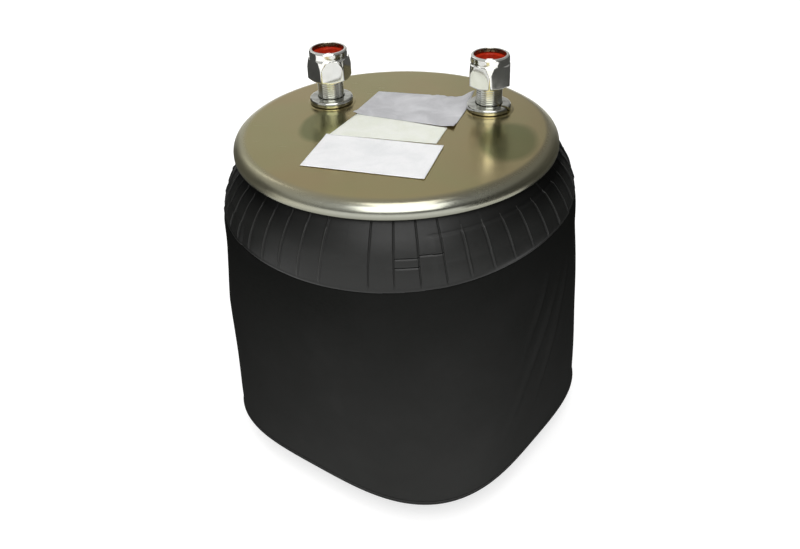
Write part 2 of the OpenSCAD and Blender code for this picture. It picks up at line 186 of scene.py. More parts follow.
def ring(centre, r, angle, z):
    """Points round a centre, each at its angle, with a radius and a height."""
    x = centre[0] + r * np.cos(angle)
    y = centre[1] + r * np.sin(angle)
    return np.stack([x, y, np.broadcast_to(z, angle.shape)], axis=1)


def grid_faces(rows, columns, wrap_rows=False, wrap_columns=True):
    """Quads between the points of a grid, whose last row or column may join its first."""
    faces = []
    for i in range(rows if wrap_rows else rows - 1):
        low = i * columns
        high = (i + 1) % rows * columns
        for j in range(columns if wrap_columns else columns - 1):
            j2 = (j + 1) % columns
            faces.append((low + j, low + j2, high + j2, high + j))
    return faces


def lathe(outline, centre=(0.0, 0.0), steps=180, closed=False):
    """Points and faces of an outline of (radius, height) turned about a vertical axis."""
    angle = np.arange(steps) * 2 * math.pi / steps
    rows = [ring(centre, r, angle, z) for r, z in outline]
    return np.concatenate(rows), grid_faces(len(outline), steps, wrap_rows=closed)


def joined(parts):
    """Several (points, faces) as one."""
    points, faces, start = [], [], 0
    for some, quads in parts:
        points.append(np.asarray(some, float))
        faces += [tuple(i + start for i in quad) for quad in quads]
        start += len(some)
    return np.concatenate(points), faces


def smooth_min(a, b, k):
    """The smaller of a and b, with the crease between them rounded over k."""
    h = np.clip(0.5 + 0.5 * (b - a) / k, 0, 1)
    return b + (a - b) * h - k * h * (1 - h)


def smoothstep(x, low, high):
    """0 at low and 1 at high, with a soft start and end."""
    t = np.clip((np.asarray(x, float) - low) / (high - low), 0, 1)
    return t * t * (3 - 2 * t)


def bell(x, width):
    """1 at x = 0, falling off within about the width on both sides."""
    return np.exp(-((x / width) ** 2))


def build(name, points, faces, material, slot=None, weighted=True):
    """A mesh object, with doubles merged and normals outwards."""
    mesh = bpy.data.meshes.new(name)
    mesh.from_pydata((np.asarray(points, float) * MM).tolist(), [], faces)
    work = bmesh.new()
    work.from_mesh(mesh)
    bmesh.ops.remove_doubles(work, verts=work.verts, dist=0.000002)
    bmesh.ops.recalc_face_normals(work, faces=work.faces)
    work.to_mesh(mesh)
    work.free()
    mesh.polygons.foreach_set("use_smooth", [True] * len(mesh.polygons))
    mesh.materials.append(material)
    obj = bpy.data.objects.new(name, mesh)
    bpy.context.scene.collection.objects.link(obj)
    if weighted:
        obj.modifiers.new("Weighted", "WEIGHTED_NORMAL").keep_sharp = True
    return obj


# Materials, whose places on the object are in metres

class Shader:
    """A node material whose node() takes sockets or plain values as inputs."""

    def __init__(self, name):
        self.material = bpy.data.materials.new(name)
        self.material.use_nodes = True
        self.tree = self.material.node_tree
        self.surface = self.tree.nodes["Principled BSDF"]

    def feed(self, socket, value):
        if isinstance(value, bpy.types.NodeSocket):
            self.tree.links.new(value, socket)
        else:
            socket.default_value = value

    def node(self, kind, inputs, output=0, **settings):
        made = self.tree.nodes.new("ShaderNode" + kind)
        for key, value in settings.items():
            setattr(made, key, value)
        for key, value in inputs.items():
            self.feed(made.inputs[key], value)
        return made.outputs[output]

    def place(self, stretch=(1, 1, 1)):
        """The place on the object, stretched."""
        spot = self.node("TexCoord", {}, output=3)
        return self.node("Mapping", {0: spot, 3: stretch})

    def height(self):
        return self.node("SeparateXYZ", {0: self.place()}, output=2)

    def length(self, vector):
        return self.node("VectorMath", {0: vector}, output=1, operation="LENGTH")

    def aside(self):
        """How far a place lies to the left or right of the middle."""
        inputs = {0: self.place(), 1: RIGHT}
        across = self.node("VectorMath", inputs, output=1, operation="DOT_PRODUCT")
        return self.math("ABSOLUTE", across)

    def noise(self, scale, detail=4, roughness=0.55, stretch=(1, 1, 1), distortion=0.0):
        inputs = {"Vector": self.place(stretch), "Scale": scale, "Detail": detail}
        inputs.update({"Roughness": roughness, "Distortion": distortion})
        return self.node("TexNoise", inputs)

    def ramp(self, value, low, high, to_low, to_high):
        inputs = {"Value": value, 1: low, 2: high, 3: to_low, 4: to_high}
        return self.node("MapRange", inputs)

    def math(self, operation, a, b=0.0):
        return self.node("Math", {0: a, 1: b}, operation=operation)

    def mix(self, factor, a, b, blend="MIX"):
        inputs = {0: factor, 6: a, 7: b}
        return self.node("Mix", inputs, output=2, data_type="RGBA", blend_type=blend)

    def bump(self, height, strength, distance, normal=None):
        inputs = {"Height": height, "Strength": strength, "Distance": distance}
        if normal is not None:
            inputs["Normal"] = normal
        return self.node("Bump", inputs)

    def finish(self, **inputs):
        for key, value in inputs.items():
            self.feed(self.surface.inputs[key.replace("_", " ")], value)
        return self.material


def rgb(r, g, b):
    return (r, g, b, 1.0)


# Painted dark, greenish reflections of the nuts on the plate in front of the studs: centre and
# reach
NUT_REFLECTIONS = [
    ((-0.0520, -0.0060, 0.254), (0.0160, 0.0280, 0.1)),
    ((0.0805, -0.0150, 0.254), (0.0195, 0.0310, 0.1)),
]


def plate_zinc():
    """Yellow zinc on stamped steel: olive, cloudy and wiped, with a duller rim. It has painted
    dark reflections of the nuts, painted shade under the rim, and a painted olive tone on the
    rim's sides.
    """
    s = Shader("plate_zinc")
    clouds = s.noise(16, detail=3, roughness=0.5, distortion=0.4)
    fine = s.noise(140, detail=5, roughness=0.6)
    wiped = s.noise(900, detail=3, stretch=(0.06, 1, 1))
    olive = rgb(0.475, 0.385, 0.195)
    greener = rgb(0.445, 0.405, 0.198)
    tone = s.mix(s.ramp(clouds, 0.38, 0.66, 0, 1), olive, greener)
    tone = s.mix(s.ramp(fine, 0.35, 0.75, 0, 0.25), tone, rgb(0.48, 0.395, 0.215))
    reflection_tone = s.mix(1.0, tone, rgb(0.50, 0.60, 0.47), "MULTIPLY")
    # Painted reflection: a darker, greener patch on the plate in front of each stud
    for centre, reach in NUT_REFLECTIONS:
        away = s.node("VectorMath", {0: s.place(), 1: centre}, operation="SUBTRACT")
        away = s.length(s.node("VectorMath", {0: away, 1: reach}, operation="DIVIDE"))
        away = s.math("ADD", away, s.ramp(clouds, 0.3, 0.7, -0.12, 0.12))
        tone = s.mix(s.ramp(away, 0.82, 1.08, 0.9, 0), tone, reflection_tone)
    radius = s.length(s.place((1, 1, 0)))
    tone = s.mix(s.ramp(radius, 0.104, 0.112, 0, 1), tone, rgb(0.39, 0.395, 0.335))
    height = s.height()
    # Painted shade: the rim's lower edge and the lip under it are darker, where the rim curls
    # under towards the sleeve
    tone = s.mix(s.ramp(height, 0.2432, 0.2462, 0.75, 0), tone, rgb(0.13, 0.13, 0.10))
    rough = s.ramp(clouds, 0.3, 0.7, 0.18, 0.23)
    rough = s.math("ADD", rough, s.ramp(wiped, 0.4, 0.7, 0, 0.05))
    # Painted reflection: the rim's left and right get a flat olive tone, and more roughness, so
    # they are duller
    painted_sides = s.ramp(s.aside(), 0.035, 0.100, 0, 1)
    painted_sides = s.math("MULTIPLY", painted_sides, s.ramp(radius, 0.105, 0.111, 0, 1))
    painted_sides = s.math("MULTIPLY", painted_sides, s.ramp(height, 0.2432, 0.2462, 0, 1))
    tone = s.mix(s.math("MULTIPLY", painted_sides, 0.85), tone, rgb(0.44, 0.41, 0.27))
    rough = s.math("ADD", rough, s.math("MULTIPLY", painted_sides, 0.18))
    shape = s.bump(fine, 0.05, 0.0004)
    shape = s.bump(wiped, 0.04, 0.0001, shape)
    return s.finish(Base_Color=tone, Metallic=1.0, Roughness=rough, Normal=shape)


def bright_metal(name, light, dark, rough, scale, bump):
    """Plated steel with soft stains and a fine grain."""
    s = Shader(name)
    stains = s.noise(scale, detail=4)
    grain = s.noise(2600, detail=2)
    tone = s.mix(s.ramp(stains, 0.35, 0.7, 0, 1), rgb(*light), rgb(*dark))
    rough = s.ramp(stains, 0.3, 0.7, *rough)
    shape = s.bump(grain, bump, 0.00005)
    return s.finish(Base_Color=tone, Metallic=1.0, Roughness=rough, Normal=shape)


def red_nylon():
    """Moulded nylon, slightly cloudy."""
    s = Shader("red_nylon")
    cloud = s.noise(300, detail=3)
    deep = rgb(0.32, 0.011, 0.002)
    bright = rgb(0.46, 0.026, 0.004)
    return s.finish(
        Base_Color=s.mix(s.ramp(cloud, 0.3, 0.7, 0, 1), deep, bright),
        Roughness=s.ramp(cloud, 0.3, 0.7, 0.35, 0.5),
        Specular_IOR_Level=0.14,
        Subsurface_Weight=0.1,
        Subsurface_Scale=0.001,
        Normal=s.bump(s.noise(1500, detail=3), 0.15, 0.0001),
    )


def rubber(name, dark, dusty, rough, gloss, low_light=0.0, middle_light=0.0, shadow_under_rim=0.0):
    """Moulded rubber with dusty clouds and a mould grain.

    Its last three arguments, each from 0 to 1, paint light and shade: a lighter lower part, most
    at the front;
    a lighter middle, facing the front and the back; and a black shadow under the plate's rim.
    """
    s = Shader(name)
    clouds = s.noise(22, detail=5, roughness=0.6)
    specks = s.noise(420, detail=4, roughness=0.65)
    grain = s.noise(1700, detail=3)
    dust = s.ramp(clouds, 0.42, 0.75, 0, 1)
    dust = s.math("MULTIPLY", dust, s.ramp(specks, 0.3, 0.7, 0.3, 1))
    tone = s.mix(dust, rgb(*dark), rgb(*dusty))
    height = s.height()
    aside = s.aside()
    # Painted light: the lower part is lighter, most at the front and less at the sides
    uneven = s.math("ADD", height, s.ramp(clouds, 0.3, 0.7, -0.02, 0.02))
    low_lit = s.ramp(uneven, 0.02, 0.205, 1, 0)
    low_lit = s.math("MULTIPLY", low_lit, s.ramp(aside, 0.05, 0.12, low_light, 0.55 * low_light))
    tone = s.mix(low_lit, tone, rgb(0.056, 0.0565, 0.0550))
    # Painted light: a lighter tone in the middle, facing the front and the back, fading to the
    # sides
    tone = s.mix(s.ramp(aside, 0.03, 0.12, middle_light, 0), tone, rgb(0.030, 0.0303, 0.0292))
    # Painted shadow: black on the flare just under the plate's rim, most at the sides, where it
    # also loses its gloss
    painted_rim_shadow = s.ramp(height, 0.222, 0.236, 0, shadow_under_rim)
    painted_rim_shadow = s.math("MULTIPLY", painted_rim_shadow, s.ramp(aside, 0.03, 0.10, 0.3, 1))
    tone = s.mix(painted_rim_shadow, tone, rgb(0.0015, 0.0015, 0.0015))
    shine = gloss
    if shadow_under_rim:
        unshadowed = s.math("SUBTRACT", 1.0, painted_rim_shadow)
        shine = s.math("MULTIPLY", s.ramp(aside, 0.06, 0.12, gloss, 0.5 * gloss), unshadowed)
    roughness = s.ramp(clouds, 0.3, 0.7, *rough)
    roughness = s.math("ADD", roughness, s.ramp(specks, 0.3, 0.7, -0.04, 0.04))
    shape = s.bump(specks, 0.18, 0.0003)
    shape = s.bump(grain, 0.16, 0.00012, shape)
    return s.finish(
        Base_Color=tone, Roughness=roughness, Specular_IOR_Level=shine, Normal=shape
    )


def black_paint():
    """Electro-coated steel with a slight orange peel."""
    s = Shader("piston_paint")
    clouds = s.noise(30, detail=4)
    black = rgb(0.012, 0.012, 0.013)
    return s.finish(
        Base_Color=s.mix(s.ramp(clouds, 0.35, 0.7, 0, 1), black, rgb(0.03, 0.03, 0.03)),
        Roughness=s.ramp(clouds, 0.3, 0.7, 0.3, 0.42),
        Normal=s.bump(s.noise(900, detail=2), 0.2, 0.0002),
    )


def paper(name, base, shade, roughness):
    """Plain label paper, with faint creases and cloudy shading and no print."""
    s = Shader(name)
    clouds = s.noise(60, detail=4, distortion=0.6)
    fibres = s.noise(1500, detail=4, stretch=(1, 0.35, 1))
    tone = s.mix(s.ramp(clouds, 0.4, 0.75, 0, 1), rgb(*base), rgb(*shade))
    tone = s.mix(s.ramp(fibres, 0.45, 0.8, 0, 0.25), tone, rgb(0.62, 0.62, 0.64))
    shape = s.bump(clouds, 0.25, 0.0006)
    shape = s.bump(fibres, 0.15, 0.00006, shape)
    return s.finish(Base_Color=tone, Roughness=roughness, Normal=shape)


PLATE = plate_zinc()
CHROME = bright_metal(
    "nut_chrome", (0.92, 0.92, 0.88), (0.82, 0.82, 0.77), (0.05, 0.11), 120, 0.08
)
STUD = bright_metal(
    "stud_zinc", (0.78, 0.79, 0.74), (0.56, 0.57, 0.52), (0.08, 0.14), 160, 0.06
)
WASHER = bright_metal(
    "washer_steel", (0.68, 0.69, 0.65), (0.44, 0.44, 0.40), (0.10, 0.22), 200, 0.15
)
WIRE = bright_metal(
    "bead_wire", (0.60, 0.47, 0.26), (0.48, 0.37, 0.22), (0.25, 0.4), 200, 0.2
)
# Painted shade: a dark steel for the nut's mouth above the nylon ring, where the recess is in
# shade
MOUTH_SHADE = bright_metal(
    "nut_mouth_painted_shade", (0.30, 0.24, 0.15), (0.05, 0.045, 0.035), (0.18, 0.4), 420, 1.0
)
NYLON = red_nylon()
RUBBER = rubber(
    "rubber", (0.0082, 0.0084, 0.0080), (0.0155, 0.0163, 0.0150),
    rough=(0.58, 0.70), gloss=0.0, low_light=0.9, middle_light=0.25
)
FLARE_RUBBER = rubber(
    "flare_rubber", (0.0080, 0.0083, 0.0077), (0.016, 0.0167, 0.0153),
    rough=(0.34, 0.45), gloss=0.28, middle_light=0.60, shadow_under_rim=0.85
)
# Painted shade: a darker, matt rubber for the bottoms of the level seams
SEAM_SHADE = rubber(
    "seam_painted_shade", (0.0050, 0.0050, 0.0048), (0.0070, 0.0070, 0.0068),
    rough=(0.6, 0.7), gloss=0.0
)
# Painted highlight: a lighter, glossy rubber for the fins' crests
FIN_HIGHLIGHT = rubber(
    "fin_painted_highlight", (0.026, 0.0265, 0.025), (0.050, 0.051, 0.048),
    rough=(0.34, 0.45), gloss=0.30
)
BUMPER = rubber(
    "bumper_rubber", (0.013, 0.013, 0.013), (0.03, 0.03, 0.028),
    rough=(0.5, 0.62), gloss=0.1
)
PAINT = black_paint()
PAPER_FRONT = paper("paper_front", (0.86, 0.86, 0.87), (0.76, 0.77, 0.78), 0.55)
PAPER_BACK = paper("paper_back", (0.43, 0.43, 0.45), (0.60, 0.60, 0.62), 0.5)
PAPER_MIDDLE = paper("paper_middle", (0.76, 0.78, 0.69), (0.84, 0.85, 0.80), 0.45)


# Bead plate

def plate_shoulder(inset, part, steps):
    """The bend between the flat and the widest place, or a part of it, inset from the skin."""
    out = []
    for k in range(steps + 1):
        a = math.pi / 2 * part * k / steps
        r = FLAT_R + (PLATE_R - FLAT_R - inset) * math.sin(a)
        out.append((r, WIDEST_Z + (PLATE_TOP - WIDEST_Z - inset) * math.cos(a)))
    return out


def under_shoulder():
    """The underside of the bend, from the rim inwards."""
    return list(reversed(plate_shoulder(PLATE_T, 0.92, 12)))


def wobble(points, size, reach):
    """Moves points outwards and up by a slow noise, as pressed sheet is never quite true."""
    moved = points.copy()
    for k, (x, y, z) in enumerate(points):
        r = math.hypot(x, y)
        if r < 1:
            continue
        shift = noise.noise(Vector((x, y, z)) / reach) * size
        moved[k] = (x + shift * x / r * 0.6, y + shift * y / r * 0.6, z + shift)
    return moved


def make_plate():
    """The pressed disc with its rolled rim, and a raised pad under each washer."""
    outline = (
        dense([(0, PLATE_TOP), (FLAT_R - 4, PLATE_TOP)], 8)
        + plate_shoulder(0, 1, 28)
        + arc((PLATE_R - RIM_ROUND, RIM_Z + RIM_ROUND), RIM_ROUND, 0, -90, 8)
        + arc((LIP_R + LIP_ROUND, RIM_Z + LIP_ROUND), LIP_ROUND, -90, -180, 6)
        + [(LIP_R, LIP_Z), (CHANNEL_R, WIDEST_Z)]
        + under_shoulder()
        + [(0, UNDER_PLATE)]
    )
    points, faces = lathe(outline, steps=360)
    parts = [(wobble(points, 0.09, 24.0), faces)]
    pad = [(STUD_R, PAD_Z), (15.9, PAD_Z), (16.6, PAD_Z - 0.05), (17.2, PAD_Z - 0.2)]
    pad += [(17.9, PLATE_TOP + 0.06), (18.8, PLATE_TOP - 0.15), (18.8, PLATE_TOP - 1)]
    pad += [(STUD_R, PLATE_TOP - 1)]
    parts += [lathe(pad, centre, 96, closed=True) for centre in STUDS.values()]
    plate = build("bead_plate_dressed", *joined(parts), PLATE, "plate_zinc")
    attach(plate, UPPER)
    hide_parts("bead_plate")


# Studs

def thread_points(centre):
    """A helical thread from the washer to the stud's chamfered top."""
    around = 96
    angle = np.arange(around) * 2 * math.pi / around
    heights = np.arange(WASHER_TOP, STUD_TOP + 0.01, PITCH / 8)
    heights = np.append(heights[heights < STUD_TOP - 0.05], STUD_TOP)
    rows = []
    for z in heights:
        phase = (z / PITCH - angle / (2 * math.pi)) % 1.0
        wave = 0.5 + 0.5 * np.cos(2 * math.pi * phase)
        crest = STUD_R - 0.22 * smoothstep(z, TIP_Z, TIP_Z + 1)
        crest = min(crest, STUD_R - 0.5 + max(0.0, z - WASHER_TOP))
        depth = 0.2 * smoothstep(z, WASHER_TOP, WASHER_TOP + 1.6)
        bevel = np.full(around, STUD_R - STUD_BEVEL + (STUD_TOP - z))
        r = smooth_min(crest - depth * (1 - wave), bevel, 0.3)
        rows.append(ring(centre, r, angle, z))
    return np.concatenate(rows), grid_faces(len(heights), around)


def make_stud(side, node):
    """A stud with its head under the plate, and a threaded air passage in the air stud."""
    foot = [(0.0, HEAD_Z), (HEAD_R - 0.8, HEAD_Z), (HEAD_R, UNDER_PLATE - 3.7)]
    foot += [(HEAD_R, UNDER_PLATE - 0.05), (9.6, UNDER_PLATE - 0.05), (9.6, PAD_Z - 0.2)]
    foot += [(STUD_R - 0.5, PAD_Z + 0.2), (STUD_R - 0.5, WASHER_TOP)]
    top_r = STUD_R - STUD_BEVEL
    if node == "air_stud":
        foot[0] = (AIR_R, HEAD_Z)
        top = [(top_r, STUD_TOP), (6.3, STUD_TOP), (5.7, STUD_TOP - 0.6), (5.55, STUD_TOP - 1)]
        top += [(5.55 - 0.35 * (k % 2), STUD_TOP - 1.4 - 0.47 * k) for k in range(22)]
        top += [(5.5, STUD_TOP - 12.0), (AIR_R + 0.1, STUD_TOP - 12.6)]
        top += [(AIR_R, STUD_TOP - 13.0), (AIR_R, HEAD_Z)]
    else:
        top = [(top_r, STUD_TOP), (top_r - 0.4, STUD_TOP), (2.2, STUD_TOP)]
        top += [(1.6, STUD_TOP - 0.3), (0.0, STUD_TOP - 1.1)]
    centre = STUDS[side]
    parts = [lathe(foot, centre, 96), thread_points(centre), lathe(top, centre, 96)]
    stud = build(node + "_dressed", *joined(parts), STUD, "stud_zinc")
    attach(stud, UPPER)
    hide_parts(node)


# Lock washers

def make_washer(side):
    """A split ring with rounded edges, cut by a slanted gap."""
    low, high = PAD_Z, WASHER_TOP
    middle = (low + high) / 2
    section = [(WASHER_IN, middle), (WASHER_IN, low), (WASHER_OUT, low + 0.35)]
    section += [(WASHER_OUT, high - 0.35), (WASHER_IN, high), (WASHER_IN, middle)]
    outline = rounded(section, [0, 0.5, 1.1, 1.8, 0.5, 0], 6)[:-1]
    columns = 150
    rows = []
    for r, z in outline:
        half = WASHER_GAP / 2 / math.cos(WASHER_SLOPE) / r
        lean = -(z - middle) * math.tan(WASHER_SLOPE) / r
        sweep = np.linspace(half, 2 * math.pi - half, columns)
        rows.append(ring(STUDS[side], r, math.radians(SPLIT_TURN[side]) + lean + sweep, z))
    faces = grid_faces(len(outline), columns, wrap_rows=True, wrap_columns=False)
    faces.append(tuple(k * columns for k in range(len(outline))))
    faces.append(tuple(k * columns + columns - 1 for k in reversed(range(len(outline)))))
    points = np.concatenate(rows)
    washer = build(side + "_washer_dressed", points, faces, WASHER, "washer_steel")
    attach(washer, side + "_lock_washer")
    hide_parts(side + "_lock_washer")


# Nuts

# Columns near a corner of the hexagon, in degrees from it, and the heights of its rows
CORNER_STEPS = [-30, -26, -22, -17, -12, -7, -3.5, -1.8, -0.9, -0.4, 0, 0.4, 0.9, 1.8, 3.5, 7]
CORNER_STEPS += [12, 17, 22, 26]
HEXAGON_ROWS = [0, 0.12, 0.3, 0.6, 0.9, 1.2, 1.5, 1.8, 2.4, 4, 7, 10, 11.5, 12.2, 12.6, 13.0]
HEXAGON_ROWS += [13.3, 13.6, 13.9, 14.2, 14.5, 14.8, 15.1, 15.4, 15.8, 16.2, 16.5]


def make_nut(side):
    """A hexagon with bevelled ends, a rolled collar and a groove for its nylon ring."""
    x, y = STUDS[side]
    angle = np.radians([corner + step for corner in range(0, 360, 60) for step in CORNER_STEPS])
    flat = NUT_AF / 2
    sector = (np.degrees(angle) % 60) - 30
    hexagon = flat / np.cos(np.radians(sector))
    corner_cut = flat / math.cos(math.radians(30)) - 0.35
    hexagon = smooth_min(hexagon, np.full(len(angle), corner_cut), 0.5)
    profile = [(NUT_BORE, 1.4), (NUT_BORE + 1.2, 0.1), (NUT_BORE + 1.6, 0.0), (13.3, 0.0)]
    for z in HEXAGON_ROWS:
        lower = 13.5 + z / math.tan(math.radians(30))
        upper = flat + 2.1 * (COLLAR_FOOT - z)
        upper = min(upper, corner_cut + 0.2 - 0.16 * max(0.0, z - 9))
        bevel = np.full(len(angle), min(lower, upper))
        profile.append((smooth_min(hexagon, bevel, 0.25), z))
    profile += [(14.22, 16.8), (14.14, 17.2), (COLLAR_R, 17.8), (COLLAR_R - 0.04, 19.2)]
    profile += arc((COLLAR_R - COLLAR_ROLL, NUT_H - COLLAR_ROLL), COLLAR_ROLL, 0, 90, 10)
    profile += arc((MOUTH_R + 0.4, NUT_H - 0.4), 0.4, 90, 180, 5)
    profile += [(MOUTH_R, 20.4), (MOUTH_R, RING_TOP), (RING_R, RING_TOP)]
    profile += [(RING_R, RING_TOP - RING_H), (NUT_BORE, RING_TOP - RING_H), (NUT_BORE, 8)]
    turned_angle = angle + math.radians(NUT_TURN[side])
    points = np.concatenate([ring((x, y), r, turned_angle, NUT_Z + z) for r, z in profile])
    faces = grid_faces(len(profile), len(angle), wrap_rows=True)
    nut = build(side + "_nut_dressed", points, faces, CHROME, "nut_chrome")
    # Painted shade on the mouth's inner wall above the nylon ring
    nut.data.materials.append(MOUTH_SHADE)
    for face in nut.data.polygons:
        px, py, pz = face.center / MM
        inside = math.hypot(px - x, py - y) < MOUTH_R + 0.1 and pz > NUT_Z + RING_TOP
        face.material_index = int(inside)
    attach(nut, side + "_nut")
    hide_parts(side + "_nut")


def make_nylon_ring(side):
    """The ring in the nut's collar, a little clear of its groove."""
    outer = RING_R - 0.08
    low = NUT_Z + RING_TOP - RING_H
    high = NUT_Z + RING_TOP - 0.08
    middle = (low + high) / 2
    section = [(NUT_BORE, middle), (NUT_BORE, low), (outer, low), (outer, high)]
    section += [(NUT_BORE + 0.7, high), (NUT_BORE, high - 0.9), (NUT_BORE, middle)]
    outline = rounded(section, [0, 0.2, 0.3, 0.3, 0.3, 0.4, 0], 3)[:-1]
    points, faces = lathe(outline, STUDS[side], 96, closed=True)
    obj = build(side + "_nylon_dressed", points, faces, NYLON, "red_nylon")
    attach(obj, side + "_nylon_ring")
    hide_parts(side + "_nylon_ring")


# Sleeve. "front" is the angle round from the middle of the front, in degrees, -180 to 180

FIN_COUNT = 52
FIN_PITCH = 360 / FIN_COUNT
FIRST_FIN = -1.9
# Fins next to the front that are cut in as grooves, and one that is missing
GROOVED_FINS = (-1, 0, 1, 2)
MISSING_FIN = -2
# Columns of the wall at each fin, in degrees from it
FIN_STEPS = [-3.46, -2.7, -1.9, -1.25, -0.9, -0.66, -0.48, -0.32, -0.16, 0.0, 0.16, 0.32]
FIN_STEPS += [0.48, 0.66, 0.9, 1.25, 1.9, 2.7]
# Outer skin of the flare: depth below the rim and radius
FLARE = [(-1.5, 109.2), (0.3, 110.0), (3, 113.2), (8, 117.4), (14, 121.1), (21, 124.4)]
FLARE += [(29, 126.7), (37, 127.6), (46, 127.6)]
# How much the flare draws in on the left: depth below the rim and millimetres
DRAWN_IN = [(0, 3), (5, 7), (8, 8), (14, 6), (20, 5.2), (25, 4.2), (36, 3), (47, 1.6)]
DRAWN_IN += [(70, 1.8), (90, 1.2), (115, 0)]
# Where the fins' painted crest highlights end: degrees from the front and depth below the rim
CREST_END = [(8, 45), (15, 19), (45, 29), (60, 35), (75, 45)]
# Creases: degrees from the front, height, degrees of lean per millimetre, and size
CREASES = [
    (47, 150, 0.20, 1.7),
    (52, 128, 0.24, 2.0),
    (57, 100, 0.20, 1.5),
    (42, 92, 0.26, 0.9),
    (63, 140, 0.18, 1.3),
    (-118, 110, -0.2, 0.7),
    (150, 120, 0.2, 0.7),
]


def looked_up(x, table):
    """The value at x between the rows of a table of pairs."""
    return np.interp(x, [row[0] for row in table], [row[1] for row in table])


def from_front(angle_deg):
    """The front angle of a direction in the part's frame."""
    return (np.asarray(angle_deg, float) + 90 - FRONT_DEG + 180) % 360 - 180


def to_angle(front):
    """The direction in the part's frame, in radians, of a front angle."""
    return np.radians(front - 90 + FRONT_DEG)


def foot_height(front):
    """Height of the band's lower edge, which rises to the right."""
    rise = 13.8 * (1 - np.cos(np.radians(np.asarray(front, float) + 20)))
    return RIM_Z - 41.8 + 11 * np.tanh(rise / 11)


def crest_foot(front):
    """Height where a fin's painted crest highlight ends, which is high up to the right of the
    front.
    """
    return max(foot_height(front) + 4, RIM_Z - looked_up(front, CREST_END))


def drift(front):
    """How far a fin leans outwards from its top to its foot, in degrees."""
    a = np.radians(front)
    return 4.0 * np.sin(a) + 2.5 * (1 - np.cos(a))


def squared(r, morph, angle, z):
    """Points of a ring that turns from round (morph 0) to the squared, leaning end (morph 1)."""
    power = 2 + (SQUARE - 2) * morph
    turned_angle = angle - CORNER - math.pi / 4
    bulk = np.abs(np.cos(turned_angle)) ** power + np.abs(np.sin(turned_angle)) ** power
    reach = r / bulk ** (1 / power)
    return ring((LEAN[0] * morph, LEAN[1] * morph), reach, angle, z)


def outer_morph(z):
    return np.clip((MORPH_TOP - z) / (MORPH_TOP - FOLD_Z), 0, 1)


def inner_morph(z):
    return np.clip((SHOULDER_Z - z) / (SHOULDER_Z - FOLD_Z), 0, 1)


def skin_radius(front, z):
    """Radius of the outer skin, without mouldings: the flare, then the squared side."""
    below = RIM_Z - z
    near = below + np.linspace(-3.5, 3.5, 15)
    upper = np.mean(looked_up(near, FLARE))
    lower = BAND_R + (LOBE_R - BAND_R) * outer_morph(z)
    r = upper + (lower - upper) * smoothstep(below, 38, 62)
    # On the left the flare is flatter, where the sleeve leans away from the plate
    away = np.abs((front + 98 + 180) % 360 - 180)
    return r - looked_up(below, DRAWN_IN) * (1 - smoothstep(away, 18, 72))


def body_relief(front, z):
    """Soft unevenness of the long side: slow hollows and the creases."""
    fade = smoothstep(RIM_Z - z, 46, 80)
    a = np.radians(front)
    slow = 0.35 * np.sin(3 * a + z / 31.0) + 0.25 * np.sin(7 * a - z / 17.0)
    creases = 0.0
    for at, height, lean, size in CREASES:
        along = (z - height) / 26.0
        across = (front - at - lean * (z - height)) / 1.6
        creases = creases + size * np.exp(-(across ** 2) - along ** 2)
    return (slow + creases) * fade * smoothstep(z, FOLD_Z, FOLD_Z + 25)


def chances(fins, salt):
    """For each fin a number from 0 to 1 that is always the same."""
    return np.array([random.Random(1000 * salt + int(k) % FIN_COUNT).random() for k in fins])


